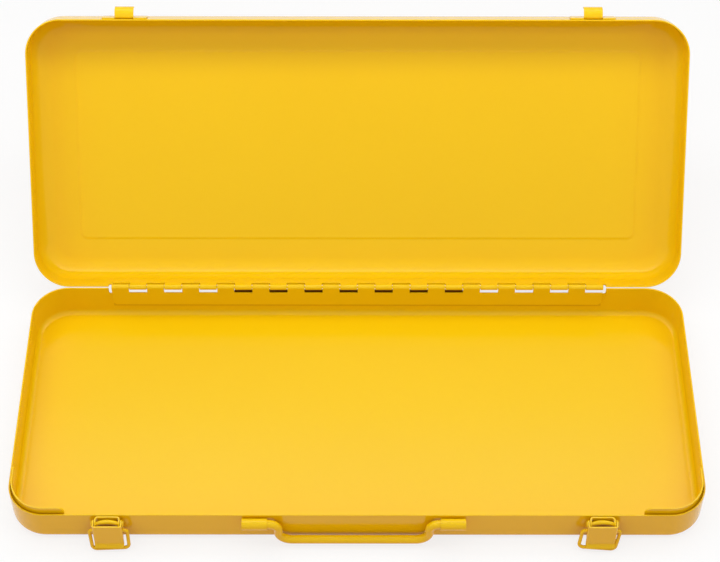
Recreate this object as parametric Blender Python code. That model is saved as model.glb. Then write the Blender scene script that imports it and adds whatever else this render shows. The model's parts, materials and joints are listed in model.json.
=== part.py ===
"""Flat steel storage case: pressed tray and lid, piano hinge, wire-bail latches and a rod handle.

Lengths are in metres and +Z is up. The front wall faces -Y. The origin is the centre of the
tray's underside. The lid stands open at its stop, and the latches and the handle hang down.
"""

import math

import bmesh
import bpy
from mathutils import Matrix, Vector

# Pressed shells
CASE_WIDTH = 0.364
CASE_DEPTH = 0.151
CORNER_RADIUS = 0.0196
SHEET = 0.0008
BASE_HEIGHT = 0.0223
BASE_EDGE_RADIUS = 0.005
LID_DEPTH = 0.025
LID_EDGE_RADIUS = 0.0115
LID_OPEN_ANGLE = math.radians(126.0)

# Panel pressed into the lid's top
PANEL_INSET = 0.0214
PANEL_END_INSET = 0.0226
PANEL_CORNER_RADIUS = 0.005
PANEL_SLOPE = 0.0022
PANEL_RISE = 0.0005

# Gaps between pieces that are welded, and between the rims where the lid stops
SEAT_GAP = 0.0003
STOP_CLEARANCE = 0.0003
LEAST_RIM_GAP = 0.0005

# Piano hinge
HINGE_PIN_RADIUS = 0.00075
HINGE_PIN_CLEARANCE = 0.00005
LEAF_SHEET = 0.0008
LEAF_HEIGHT = 0.014
LEAF_CHAMFER = 0.002
KNUCKLE_PITCH = 0.0099
KNUCKLE_PAIRS = 14
KNUCKLE_GAP = 0.0003
KNUCKLE_RELIEF = 0.002
CURL_GAP = 0.0004
NOTCH_CLEARANCE = 0.0038
NOTCH_END_CLEARANCE = 0.0018
NOTCH_CORNER_RADIUS = 0.0008

# Strips in the front corners that guide the lid
GUIDE_SHEET = 0.0008
GUIDE_FRONT_LEG = 0.0324
GUIDE_SIDE_LEG = 0.0292
GUIDE_RISE = 0.004
GUIDE_REACH = 0.009
GUIDE_JOGGLE = 0.0005
GUIDE_JOGGLE_DROP = 0.0012
GUIDE_JOGGLE_HEIGHT = 0.0015
GUIDE_END_RADIUS = 0.0038

# Rod handle and the two clips that carry it
ROD_RADIUS = 0.0023
ROD_CLEARANCE = 0.00015
ROD_END_INSET = 0.0004
HANDLE_ARM_X = 0.0392
HANDLE_DROP = 0.0144
HANDLE_SHOULDER_BEND = 0.005
HANDLE_GRIP_BEND = 0.007
HANDLE_SIDE_PLAY = 0.0006
CLIP_SHEET = 0.0006
CLIP_LENGTH = 0.0131
CLIP_LEAF = 0.010
CLIP_TOP_DROP = 0.0002

# Latches: bracket on the tray, lever and pivot pin
LATCH_INSET = 0.0535
LATCH_SHEET = 0.0008
PIVOT_OUT = 0.0036
PIVOT_DROP = 0.0026
LATCH_PIN_RADIUS = 0.00105
LATCH_PIN_CLEARANCE = 0.00015
PIN_HEAD_RADIUS = 0.0017
PIN_HEAD_HEIGHT = 0.0006
PIN_HEAD_DOME = 0.0003
PIN_HEAD_CLEARANCE = 0.0002
BRACKET_LENGTH = 0.0155
BRACKET_BEND = 0.0019
EAR_RADIUS = 0.0022
EAR_SWEEP = math.radians(140.0)
EAR_DROP = 0.0045
EAR_SIDE_CLEARANCE = 0.0003
LEVER_WIDTH = 0.0154
LEVER_FACE = 0.0034
LEVER_RISE = 0.0019
LEVER_LENGTH = 0.0152
LEVER_BEND = 0.0012
LEVER_FLANGE = 0.0053
FLANGE_CORNER = 0.0012
FLANGE_STRAIGHT = 0.0093
FLANGE_TAPER = 0.0045
LIP_RADIUS = 0.002
LIP_ANGLE = math.radians(39.0)
LIP_LENGTH = 0.0017

# Wire bails of the latches
BAIL_OUT = 0.0004
BAIL_DROP = 0.0053
BAIL_WIRE_RADIUS = 0.00095
BAIL_HOLE_CLEARANCE = 0.0002
BAIL_BAR_CLEARANCE = 0.0006
BAIL_SIDE_CLEARANCE = 0.0004
BAIL_END_REACH = 0.0006
BAIL_SHOULDER_BEND = 0.0018
BAIL_BAR_BEND = 0.0026
BAIL_FLOOR_CLEARANCE = 0.0002

# Catches on the lid
CATCH_SHEET = 0.0008
CATCH_WIDTH = 0.0247
CATCH_HEIGHT = 0.0085
CATCH_RIM_OFFSET = 0.0005
CATCH_CORNER_RADIUS = 0.0015
HOOK_WIDTH = 0.0103
HOOK_REACH = 0.0063
HOOK_RISE = 0.0054
HOOK_FLOOR = 0.0022
HOOK_BEND = 0.0036

# Fineness of round shapes
CORNER_STEPS = 10
EDGE_STEPS = 5
BEND_STEPS = 6
SMALL_BEND_STEPS = 3
CURL_STEP = math.radians(18.0)
PIN_SIDES = 20
ROD_SIDES = 14
WIRE_SIDES = 10
CUT_MARGIN = 0.001
SHARP_ANGLE = math.radians(35.0)

# Paint
PAINT_COLOUR = (0.93, 0.52, 0.022, 1.0)
PAINT_ROUGHNESS = 0.3
PAINT_METALLIC = 0.0

# Places that follow from the sizes above
KNUCKLE_RADIUS = HINGE_PIN_RADIUS + HINGE_PIN_CLEARANCE + LEAF_SHEET
AXIS_INSET = SHEET + SEAT_GAP + LEAF_SHEET - KNUCKLE_RADIUS
STOP_SPREAD = STOP_CLEARANCE + 2 * AXIS_INSET * math.sin(LID_OPEN_ANGLE / 2)
RIM_GAP = max(LEAST_RIM_GAP, STOP_SPREAD / math.cos(LID_OPEN_ANGLE / 2))
HINGE_Y = CASE_DEPTH / 2 - AXIS_INSET
HINGE_Z = BASE_HEIGHT + RIM_GAP / 2
HINGE_LENGTH = 2 * KNUCKLE_PAIRS * KNUCKLE_PITCH
FRONT_Y = -CASE_DEPTH / 2
LID_RIM_Z = BASE_HEIGHT + RIM_GAP
LID_TOP_Z = LID_RIM_Z + LID_DEPTH
CLIP_RADIUS = ROD_RADIUS + ROD_CLEARANCE + CLIP_SHEET
HANDLE_Y = FRONT_Y - SEAT_GAP - CLIP_RADIUS
HANDLE_Z = BASE_HEIGHT - CLIP_TOP_DROP - CLIP_RADIUS
CLIP_INNER_X = HANDLE_ARM_X + HANDLE_SHOULDER_BEND + HANDLE_SIDE_PLAY
CLIP_OUTER_X = CLIP_INNER_X + CLIP_LENGTH
LATCH_X = CASE_WIDTH / 2 - LATCH_INSET
PIVOT_Y = FRONT_Y - PIVOT_OUT
PIVOT_Z = BASE_HEIGHT - PIVOT_DROP
EAR_HALF_WIDTH = LEVER_WIDTH / 2 - LATCH_SHEET - EAR_SIDE_CLEARANCE
PIN_HEAD_X = LEVER_WIDTH / 2 + PIN_HEAD_CLEARANCE
PIN_END_X = PIN_HEAD_X + PIN_HEAD_HEIGHT
BAIL_LEG_X = PIN_END_X + BAIL_SIDE_CLEARANCE + BAIL_WIRE_RADIUS
BAIL_END_X = LEVER_WIDTH / 2 - LATCH_SHEET - BAIL_END_REACH


def remove_objects():
    for thing in list(bpy.data.objects):
        bpy.data.objects.remove(thing, do_unlink=True)


def painted(name):
    """A gloss paint of its own for one piece."""
    material = bpy.data.materials.new(name + "_paint")
    material.use_nodes = True
    shader = material.node_tree.nodes["Principled BSDF"]
    shader.inputs["Base Color"].default_value = PAINT_COLOUR
    shader.inputs["Roughness"].default_value = PAINT_ROUGHNESS
    shader.inputs["Metallic"].default_value = PAINT_METALLIC
    return material


def place(name, shape, parent=None, location=(0.0, 0.0, 0.0)):
    """Turn a bmesh into an object."""
    mesh = bpy.data.meshes.new(name)
    shape.to_mesh(mesh)
    shape.free()
    thing = bpy.data.objects.new(name, mesh)
    thing.location = location
    thing.parent = parent
    bpy.context.scene.collection.objects.link(thing)
    return thing


def piece(name, shape, parent=None, location=(0.0, 0.0, 0.0)):
    """A painted piece of the case."""
    thing = place(name, shape, parent, location)
    thing.data.materials.append(painted(name))
    thing.data.shade_smooth()
    thing.data.set_sharp_from_angle(angle=SHARP_ANGLE)
    return thing


def axis_empty(name, location, parent=None, turn=0.0):
    """An empty on a joint's axis, which lies along X."""
    empty = bpy.data.objects.new(name, None)
    empty.location = location
    empty.rotation_euler = (turn, 0.0, 0.0)
    empty.parent = parent
    bpy.context.scene.collection.objects.link(empty)
    return empty


def combine(target, operation, name, shape):
    """Cut a shape out of a piece, or join it to the piece."""
    tool = place(name, shape, target.parent, target.location)
    tool.hide_render = True
    tool.display_type = "WIRE"
    boolean = target.modifiers.new(name, "BOOLEAN")
    boolean.operation = operation
    boolean.solver = "EXACT"
    boolean.object = tool


def loft(loops):
    """Skin a run of closed loops that have equal point counts, and cap both ends."""
    shape = bmesh.new()
    rings = [[shape.verts.new(point) for point in loop] for loop in loops]
    for lower, upper in zip(rings, rings[1:]):
        for i in range(len(lower)):
            j = (i + 1) % len(lower)
            shape.faces.new((lower[i], lower[j], upper[j], upper[i]))
    shape.faces.new(rings[0])
    shape.faces.new(rings[-1])
    bmesh.ops.recalc_face_normals(shape, faces=shape.faces)
    return shape


def boxes(spans):
    """Separate boxes in one mesh, each given by its low and high corner."""
    shape = bmesh.new()
    for low, high in spans:
        low = Vector(low)
        high = Vector(high)
        size = high - low
        place_box = Matrix.Translation((low + high) / 2) @ Matrix.Diagonal((*size, 1.0))
        bmesh.ops.create_cube(shape, size=1.0, matrix=place_box)
    return shape


def fractions(steps):
    return [k / steps for k in range(steps + 1)]


def rounded_rectangle(half_u, half_v, radius, steps):
    """Counter-clockwise outline about the origin."""
    outline = []
    for turn, (side_u, side_v) in enumerate(((1, 1), (-1, 1), (-1, -1), (1, -1))):
        for part in fractions(steps):
            angle = (turn + part) * math.pi / 2
            u = side_u * (half_u - radius) + radius * math.cos(angle)
            v = side_v * (half_v - radius) + radius * math.sin(angle)
            outline.append((u, v))
    return outline


def plan_loop(inset, z):
    """The case's plan outline, drawn in by inset, at height z."""
    half_x = CASE_WIDTH / 2 - inset
    half_y = CASE_DEPTH / 2 - inset
    outline = rounded_rectangle(half_x, half_y, CORNER_RADIUS - inset, CORNER_STEPS)
    return [(x, y, z) for x, y in outline]


def panel_loop(draw, z):
    """Outline of the lid's pressed panel, drawn in by draw, at height z."""
    half_x = CASE_WIDTH / 2 - PANEL_END_INSET - draw
    half_y = CASE_DEPTH / 2 - PANEL_INSET - draw
    outline = rounded_rectangle(half_x, half_y, PANEL_CORNER_RADIUS - draw, CORNER_STEPS)
    return [(x, y, z) for x, y in outline]


def shell_wall(height, edge_radius):
    """Loops of a pressed shell that stands on its bottom: inner face, rim, outer face."""
    inner_radius = edge_radius - SHEET
    loops = []
    for part in reversed(fractions(EDGE_STEPS)):
        angle = part * math.pi / 2
        inset = SHEET + inner_radius * (1 - math.cos(angle))
        loops.append(plan_loop(inset, SHEET + inner_radius * (1 - math.sin(angle))))
    loops.append(plan_loop(SHEET, height))
    loops.append(plan_loop(0.0, height))
    for part in fractions(EDGE_STEPS):
        angle = part * math.pi / 2
        loops.append(plan_loop(edge_radius * (1 - math.cos(angle)), edge_radius * (1 - math.sin(angle))))
    return loops


def hinge_notch(rim_z, down):
    """Cutter for the hinge's notch in a rear wall, from the rim down or up."""
    half_length = HINGE_LENGTH / 2 + NOTCH_END_CLEARANCE
    depth = KNUCKLE_RADIUS - RIM_GAP / 2 + NOTCH_CLEARANCE
    outline = rounded_rectangle(half_length, depth, NOTCH_CORNER_RADIUS, SMALL_BEND_STEPS)
    rear_y = CASE_DEPTH / 2 + CUT_MARGIN
    front_y = CASE_DEPTH / 2 - SHEET - CUT_MARGIN
    return [[(x, y, rim_z + down * v) for x, v in outline] for y in (front_y, rear_y)]


def build_tray():
    tray = piece("base_tray", loft(shell_wall(BASE_HEIGHT, BASE_EDGE_RADIUS)))
    combine(tray, "DIFFERENCE", "cut_tray_notch", loft(hinge_notch(BASE_HEIGHT, -1)))
    return tray


def from_hinge(loops):
    """Move loops that are written for the closed case to the hinge's axis."""
    return [[(x, y - HINGE_Y, z - HINGE_Z) for x, y, z in loop] for loop in loops]


def build_lid(hinge):
    """The lid is shaped bottom up, as a tray with a raised panel, and turned over."""
    loops = [panel_loop(PANEL_SLOPE, SHEET + PANEL_RISE), panel_loop(0.0, SHEET)]
    loops += shell_wall(LID_DEPTH, LID_EDGE_RADIUS)
    loops += [panel_loop(0.0, 0.0), panel_loop(PANEL_SLOPE, PANEL_RISE)]
    turned = [[(x, y, LID_TOP_Z - z) for x, y, z in loop] for loop in loops]
    lid = piece("lid_shell", loft(from_hinge(turned)), hinge)
    combine(lid, "DIFFERENCE", "cut_lid_notch", loft(from_hinge(hinge_notch(LID_RIM_Z, 1))))
    return lid


def curl_profile(radius, sheet, leaf):
    """A flat leaf that hangs at -u and rolls into a curl about the origin."""
    inner = radius - sheet
    end = math.acos(-(inner - CURL_GAP) / radius)
    sweep = math.pi + end
    steps = math.ceil(sweep / CURL_STEP)
    angles = [math.pi - sweep * part for part in fractions(steps)]
    outside = [(radius * math.cos(a), radius * math.sin(a)) for a in angles]
    inside = [(inner * math.cos(a), inner * math.sin(a)) for a in reversed(angles)]
    return [(-radius, -leaf)] + outside + inside + [(-inner, -leaf)]


def build_leaf(name, parent, location, down, first_relief):
    """One hinge leaf along X. Its knuckles alternate with reliefs for the other leaf's."""
    start = -HINGE_LENGTH / 2
    short = LEAF_HEIGHT - LEAF_CHAMFER
    stations = (
        (start, short),
        (start + LEAF_CHAMFER, LEAF_HEIGHT),
        (-start - LEAF_CHAMFER, LEAF_HEIGHT),
        (-start, short),
    )
    loops = []
    for x, leaf in stations:
        profile = curl_profile(KNUCKLE_RADIUS, LEAF_SHEET, leaf)
        loops.append([(x, u, down * v) for u, v in profile])
    leaf = piece(name, loft(loops), parent, location)
    relief = KNUCKLE_RADIUS + KNUCKLE_RELIEF
    reach = KNUCKLE_RADIUS + CUT_MARGIN
    spans = []
    for k in range(first_relief, 2 * KNUCKLE_PAIRS, 2):
        left = start + k * KNUCKLE_PITCH - KNUCKLE_GAP / 2
        right = left + KNUCKLE_PITCH + KNUCKLE_GAP
        low, high = sorted((-down * relief, down * reach))
        spans.append(((left, -reach, low), (right, reach, high)))
    combine(leaf, "DIFFERENCE", "cut_" + name, boxes(spans))
    return leaf


def circle_x(x, radius, sides):
    """A circle about the X axis."""
    angles = [2 * math.pi * k / sides for k in range(sides)]
    return [(x, radius * math.cos(a), radius * math.sin(a)) for a in angles]


def build_hinge(hinge):
    at_axis = (0.0, HINGE_Y, HINGE_Z)
    build_leaf("hinge_leaf_base", None, at_axis, 1, 1)
    build_leaf("hinge_leaf_lid", hinge, (0.0, 0.0, 0.0), -1, 0)
    ends = (-HINGE_LENGTH / 2, HINGE_LENGTH / 2)
    piece("hinge_pin", loft([circle_x(x, HINGE_PIN_RADIUS, PIN_SIDES) for x in ends]), None, at_axis)


def corner_stations():
    """Points along a front corner of the outer plan line: distance, place and inward direction."""
    straight = GUIDE_FRONT_LEG - CORNER_RADIUS
    arc = CORNER_RADIUS * math.pi / 2
    length = straight + arc + GUIDE_SIDE_LEG - CORNER_RADIUS
    rounding = [GUIDE_END_RADIUS * (1 - math.cos(part * math.pi / 2)) for part in fractions(BEND_STEPS)]
    turning = [straight + arc * part for part in fractions(CORNER_STEPS)]
    distances = rounding + turning + [length - s for s in reversed(rounding)]
    centre = Vector((CASE_WIDTH / 2 - CORNER_RADIUS, FRONT_Y + CORNER_RADIUS))
    stations = []
    for s in sorted(distances):
        angle = min(max(s - straight, 0.0), arc) / CORNER_RADIUS
        outward = Vector((math.sin(angle), -math.cos(angle)))
        run = Vector((math.cos(angle), math.sin(angle)))
        beyond = s - straight - angle * CORNER_RADIUS
        stations.append((min(s, length - s), centre + outward * CORNER_RADIUS + run * beyond, -outward))
    return stations


def build_guide(name, side):
    """A strip that follows the corner, stands above the rim and steps in to clear the lid."""
    low = SHEET + SEAT_GAP
    high = low + GUIDE_JOGGLE
    bottom = BASE_HEIGHT - GUIDE_REACH
    joggle_top = BASE_HEIGHT - GUIDE_JOGGLE_DROP
    joggle_bottom = joggle_top - GUIDE_JOGGLE_HEIGHT
    loops = []
    for to_end, point, inward in corner_stations():
        short = max(GUIDE_END_RADIUS - to_end, 0.0)
        top = BASE_HEIGHT + GUIDE_RISE - GUIDE_END_RADIUS + math.sqrt(GUIDE_END_RADIUS ** 2 - short ** 2)
        profile = (
            (low, bottom),
            (low, joggle_bottom),
            (high, joggle_top),
            (high, top),
            (high + GUIDE_SHEET, top),
            (high + GUIDE_SHEET, joggle_top),
            (low + GUIDE_SHEET, joggle_bottom),
            (low + GUIDE_SHEET, bottom),
        )
        places = [(point + inward * depth, z) for depth, z in profile]
        loops.append([(side * place.x, place.y, z) for place, z in places])
    piece(name, loft(loops))


def bend_path(corners, radii, steps):
    """An open run of straight pieces whose inner corners are arcs."""
    corners = [Vector(corner) for corner in corners]
    path = [corners[0]]
    for before, corner, after, radius in zip(corners, corners[1:], corners[2:], radii):
        into = (corner - before).normalized()
        out = (after - corner).normalized()
        turn = into.angle(out)
        centre = corner + (out - into).normalized() * (radius / math.cos(turn / 2))
        arm = corner - into * radius * math.tan(turn / 2) - centre
        axis = into.cross(out)
        for part in fractions(steps):
            path.append(centre + Matrix.Rotation(turn * part, 3, axis) @ arm)
    path.append(corners[-1])
    return path


def directions(path):
    """The way along a path at each of its points."""
    last = len(path) - 1
    return [(path[min(i + 1, last)] - path[max(i - 1, 0)]).normalized() for i in range(last + 1)]


def rod(path, radius, sides, normal):
    """A round rod along a path that lies in the plane across normal."""
    normal = Vector(normal)
    loops = []
    for point, along in zip(path, directions(path)):
        across = along.cross(normal)
        loop = []
        for k in range(sides):
            angle = 2 * math.pi * (k + 0.5) / sides
            loop.append(point + radius * (math.cos(angle) * across + math.sin(angle) * normal))
        loops.append(loop)
    return loft(loops)


def build_handle():
    axis = axis_empty("handle_axis", (0.0, HANDLE_Y, HANDLE_Z))
    end = CLIP_OUTER_X - ROD_END_INSET
    corners = (
        (-end, 0.0, 0.0),
        (-HANDLE_ARM_X, 0.0, 0.0),
        (-HANDLE_ARM_X, 0.0, -HANDLE_DROP),
        (HANDLE_ARM_X, 0.0, -HANDLE_DROP),
        (HANDLE_ARM_X, 0.0, 0.0),
        (end, 0.0, 0.0),
    )
    radii = (HANDLE_SHOULDER_BEND, HANDLE_GRIP_BEND, HANDLE_GRIP_BEND, HANDLE_SHOULDER_BEND)
    path = bend_path(corners, radii, BEND_STEPS)
    piece("carry_handle", rod(path, ROD_RADIUS, ROD_SIDES, (0.0, 1.0, 0.0)), axis)


def build_clip(name, side):
    """A strip on the front wall, rolled round the handle's end."""
    profile = curl_profile(CLIP_RADIUS, CLIP_SHEET, CLIP_LEAF)
    loops = [[(side * x, -u, v) for u, v in profile] for x in (CLIP_INNER_X, CLIP_OUTER_X)]
    piece(name, loft(loops), None, (0.0, HANDLE_Y, HANDLE_Z))


def channel_section(half_width, sheet, bend, depth):
    """U section of folded sheet: the web lies at d = 0 and the flanges run to d = depth."""
    outside = []
    inside = []
    for side in (-1, 1):
        arc = fractions(SMALL_BEND_STEPS)
        if side > 0:
            arc.reverse()
        for part in arc:
            angle = part * math.pi / 2
            for line, radius in ((outside, bend), (inside, bend - sheet)):
                x = side * (half_width - bend + radius * math.cos(angle))
                line.append((x, bend - radius * math.sin(angle)))
    outside = [(-half_width, depth)] + outside + [(half_width, depth)]
    inside = [(-half_width + sheet, depth)] + inside + [(half_width - sheet, depth)]
    return outside + inside[::-1]


def build_bracket(name, x):
    """A folded plate on the front wall with two ears for the pivot pin."""
    least = BRACKET_BEND + LATCH_SHEET / 2
    web_to_pivot = PIVOT_OUT - SEAT_GAP
    stations = []
    for part in fractions(BEND_STEPS):
        angle = math.pi / 2 - part * EAR_SWEEP
        stations.append((EAR_RADIUS * math.sin(angle), web_to_pivot + EAR_RADIUS * math.cos(angle)))
    stations.append((-EAR_DROP, least))
    stations.append((EAR_RADIUS - BRACKET_LENGTH, least))
    loops = []
    for z, depth in stations:
        section = channel_section(EAR_HALF_WIDTH, LATCH_SHEET, BRACKET_BEND, depth)
        loops.append([(u, web_to_pivot - d, z) for u, d in section])
    bracket = piece(name, loft(loops), None, (x, PIVOT_Y, PIVOT_Z))
    hole = LATCH_PIN_RADIUS + LATCH_PIN_CLEARANCE
    ends = (-LEVER_WIDTH, LEVER_WIDTH)
    combine(bracket, "DIFFERENCE", "cut_" + name, loft([circle_x(u, hole, PIN_SIDES) for u in ends]))


def build_latch_pin(name, x):
    """Pivot pin with a low domed head at each end."""
    shoulder = PIN_END_X - PIN_HEAD_DOME
    half = (
        (PIN_HEAD_X, LATCH_PIN_RADIUS),
        (PIN_HEAD_X, PIN_HEAD_RADIUS),
        (shoulder, PIN_HEAD_RADIUS),
        (PIN_END_X, PIN_HEAD_RADIUS - PIN_HEAD_DOME),
    )
    stations = [(-u, radius) for u, radius in reversed(half)] + list(half)
    loops = [circle_x(u, radius, PIN_SIDES) for u, radius in stations]
    piece(name, loft(loops), None, (x, PIVOT_Y, PIVOT_Z))


def flange_depth(run):
    """How far the lever's side flanges reach behind its face, at a distance from its top."""
    least = LEVER_BEND + LATCH_SHEET / 2
    if run < FLANGE_CORNER:
        short = FLANGE_CORNER - run
        return LEVER_FLANGE - FLANGE_CORNER + math.sqrt(FLANGE_CORNER ** 2 - short ** 2)
    tapered = min(max((run - FLANGE_STRAIGHT) / FLANGE_TAPER, 0.0), 1.0)
    return LEVER_FLANGE + (least - LEVER_FLANGE) * (1 - math.cos(math.pi * tapered)) / 2


def lever_stations():
    """Face point (out, up), tilt and flange depth from the lever's top to its lip, about the pivot."""
    runs = [FLANGE_CORNER * (1 - math.cos(part * math.pi / 2)) for part in fractions(SMALL_BEND_STEPS)]
    runs += [FLANGE_STRAIGHT + FLANGE_TAPER * part for part in fractions(BEND_STEPS)]
    stations = [(LEVER_FACE, LEVER_RISE - run, 0.0, flange_depth(run)) for run in runs]
    least = flange_depth(LEVER_LENGTH)
    bend_up = LEVER_RISE - LEVER_LENGTH
    for part in fractions(BEND_STEPS):
        tilt = LIP_ANGLE * part
        out = LEVER_FACE + LIP_RADIUS * (1 - math.cos(tilt))
        stations.append((out, bend_up - LIP_RADIUS * math.sin(tilt), tilt, least))
    out, up, tilt, depth = stations[-1]
    tip = (out + LIP_LENGTH * math.sin(tilt), up - LIP_LENGTH * math.cos(tilt), tilt, depth)
    return stations + [tip]


def lever_reach():
    """Distance from the bail's axis to the furthest corner of the lever's lip."""
    out, up, tilt, depth = lever_stations()[-1]
    corners = [(out - d * math.cos(tilt), up - d * math.sin(tilt)) for d in (0.0, depth)]
    return max(math.hypot(u - BAIL_OUT, v + BAIL_DROP) for u, v in corners)


def build_lever(name, pivot):
    """Folded channel with a lip to pull on. Its flanges carry the pivot pin and the bail."""
    loops = []
    for out, up, tilt, depth in lever_stations():
        section = channel_section(LEVER_WIDTH / 2, LATCH_SHEET, LEVER_BEND, depth)
        loops.append([(u, d * math.cos(tilt) - out, up - d * math.sin(tilt)) for u, d in section])
    lever = piece(name, loft(loops), pivot)
    ends = (-LEVER_WIDTH, LEVER_WIDTH)
    pin_hole = LATCH_PIN_RADIUS + LATCH_PIN_CLEARANCE
    combine(lever, "DIFFERENCE", "cut_pin_" + name, loft([circle_x(u, pin_hole, PIN_SIDES) for u in ends]))
    bail_hole = BAIL_WIRE_RADIUS + BAIL_HOLE_CLEARANCE
    rings = []
    for u in ends:
        circle = circle_x(u, bail_hole, PIN_SIDES)
        rings.append([(a, b - BAIL_OUT, c - BAIL_DROP) for a, b, c in circle])
    combine(lever, "DIFFERENCE", "cut_bail_" + name, loft(rings))


def build_bail(name, pivot):
    """Wire loop that hangs from the lever until its bar meets the table."""
    length = lever_reach() + BAIL_BAR_CLEARANCE + BAIL_WIRE_RADIUS
    height = PIVOT_Z - BAIL_DROP - BAIL_WIRE_RADIUS - BAIL_FLOOR_CLEARANCE
    lean = math.acos(min(1.0, height / length))
    axis = axis_empty(name + "_axis", (0.0, -BAIL_OUT, -BAIL_DROP), pivot, -lean)
    corners = (
        (-BAIL_END_X, 0.0, 0.0),
        (-BAIL_LEG_X, 0.0, 0.0),
        (-BAIL_LEG_X, 0.0, -length),
        (BAIL_LEG_X, 0.0, -length),
        (BAIL_LEG_X, 0.0, 0.0),
        (BAIL_END_X, 0.0, 0.0),
    )
    radii = (BAIL_SHOULDER_BEND, BAIL_BAR_BEND, BAIL_BAR_BEND, BAIL_SHOULDER_BEND)
    path = bend_path(corners, radii, BEND_STEPS)
    piece(name, rod(path, BAIL_WIRE_RADIUS, WIRE_SIDES, (0.0, 1.0, 0.0)), axis)


def hook_outline():
    """Side view of the hook (out, up), from inside the catch plate to the tip."""
    floor = CATCH_SHEET / 2
    start = SEAT_GAP + CATCH_SHEET / 2
    lip = HOOK_REACH - CATCH_SHEET / 2
    corners = ((start, 0.0, floor), (lip, 0.0, floor), (lip, 0.0, HOOK_RISE))
    path = bend_path(corners, [HOOK_BEND], BEND_STEPS)
    across = Vector((0.0, 1.0, 0.0))
    edges = []
    for side in (-1, 1):
        steps = zip(path, directions(path))
        edges.append([point + side * CATCH_SHEET / 2 * along.cross(across) for point, along in steps])
    return [(point.x, point.z) for point in edges[0] + edges[1][::-1]]


def build_catch(name, x, hinge):
    """Plate on the lid's front wall with a hook that the bail pulls on."""
    low = LID_RIM_Z + CATCH_RIM_OFFSET
    middle = low + CATCH_HEIGHT / 2
    outline = rounded_rectangle(CATCH_WIDTH / 2, CATCH_HEIGHT / 2, CATCH_CORNER_RADIUS, SMALL_BEND_STEPS)
    faces = (FRONT_Y - SEAT_GAP, FRONT_Y - SEAT_GAP - CATCH_SHEET)
    plate = [[(x + u, y, middle + v) for u, v in outline] for y in faces]
    catch = piece(name, loft(from_hinge(plate)), hinge)
    floor_z = LID_RIM_Z + HOOK_FLOOR
    sides = (x - HOOK_WIDTH / 2, x + HOOK_WIDTH / 2)
    hook = [[(u, FRONT_Y - out, floor_z + up) for out, up in hook_outline()] for u in sides]
    combine(catch, "UNION", "hook_" + name, loft(from_hinge(hook)))


def build_case():
    remove_objects()
    hinge = axis_empty("lid_hinge_axis", (0.0, HINGE_Y, HINGE_Z), None, -LID_OPEN_ANGLE)
    build_tray()
    build_lid(hinge)
    build_hinge(hinge)
    build_handle()
    for word, side in (("left", -1), ("right", 1)):
        x = side * LATCH_X
        build_guide("corner_guide_" + word, side)
        build_clip("handle_clip_" + word, side)
        build_bracket("latch_bracket_" + word, x)
        build_latch_pin("latch_pin_" + word, x)
        pivot = axis_empty("lever_axis_" + word, (x, PIVOT_Y, PIVOT_Z))
        build_lever("latch_lever_" + word, pivot)
        build_bail("latch_bail_" + word, pivot)
        build_catch("catch_" + word, x, hinge)


build_case()
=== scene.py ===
import json
import math

import bmesh
import bpy
from mathutils import Matrix, Vector


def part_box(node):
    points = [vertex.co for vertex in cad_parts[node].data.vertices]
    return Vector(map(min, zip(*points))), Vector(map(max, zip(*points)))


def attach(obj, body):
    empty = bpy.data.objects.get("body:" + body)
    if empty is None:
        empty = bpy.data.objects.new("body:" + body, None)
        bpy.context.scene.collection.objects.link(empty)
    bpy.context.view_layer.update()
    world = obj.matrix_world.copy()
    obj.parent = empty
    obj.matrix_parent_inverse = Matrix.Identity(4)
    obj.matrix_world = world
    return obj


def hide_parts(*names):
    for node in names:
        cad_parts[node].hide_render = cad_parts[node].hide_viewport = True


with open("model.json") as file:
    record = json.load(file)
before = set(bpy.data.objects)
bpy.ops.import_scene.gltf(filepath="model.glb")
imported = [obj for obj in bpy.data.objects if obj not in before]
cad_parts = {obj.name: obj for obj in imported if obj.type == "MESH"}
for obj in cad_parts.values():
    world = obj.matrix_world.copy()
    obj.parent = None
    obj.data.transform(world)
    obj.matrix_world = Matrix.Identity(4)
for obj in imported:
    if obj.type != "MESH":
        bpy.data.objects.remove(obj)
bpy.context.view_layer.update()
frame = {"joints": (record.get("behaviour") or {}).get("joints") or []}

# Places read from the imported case
JOINTS = {joint["name"]: joint for joint in frame["joints"]}
TRAY_LOW, TRAY_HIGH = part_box("base_tray")
CASE_WIDTH = TRAY_HIGH.x - TRAY_LOW.x
CASE_DEPTH = TRAY_HIGH.y - TRAY_LOW.y
TRAY_HEIGHT = TRAY_HIGH.z - TRAY_LOW.z
FRONT_Y = TRAY_LOW.y
HINGE = Vector(JOINTS["lid_hinge"]["pos_m"])
LID_SWING = math.radians(JOINTS["lid_hinge"]["range_deg"][1])
RIM_GAP = 2 * (HINGE.z - TRAY_HEIGHT)
LID_RIM_Z = TRAY_HEIGHT + RIM_GAP

# Pressed shells
SHEET = 0.0008
CORNER_RADIUS = 0.0196
TRAY_EDGE_RADIUS = 0.005
TRAY_INNER_RADIUS = 0.0030
LID_DEPTH = 0.025
LID_EDGE_RADIUS = 0.0115
LID_INNER_RADIUS = LID_EDGE_RADIUS - SHEET
LID_TOP_Z = LID_RIM_Z + LID_DEPTH
RIM_ROUNDING = 0.00022
PANEL_INSET = 0.0205
PANEL_SHIFT = 0.0009
PANEL_END_INSET = 0.0226
PANEL_CORNER_RADIUS = 0.005
PANEL_SLOPE = 0.0022
PANEL_RISE = 0.0004
SEAT_GAP = 0.0003

# Piano hinge
HINGE_WIRE_RADIUS = 0.00075
HINGE_WIRE_ROUNDING = 0.0003
LEAF_SHEET = 0.0008
KNUCKLE_RADIUS = 0.0016
LEAF_HEIGHT = 0.014
LEAF_CHAMFER = 0.002
KNUCKLE_PITCH = 0.0099
KNUCKLES = 28
KNUCKLE_GAP = 0.0003
KNUCKLE_RELIEF = 0.002
CURL_GAP = 0.0004
HINGE_LENGTH = KNUCKLES * KNUCKLE_PITCH

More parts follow.
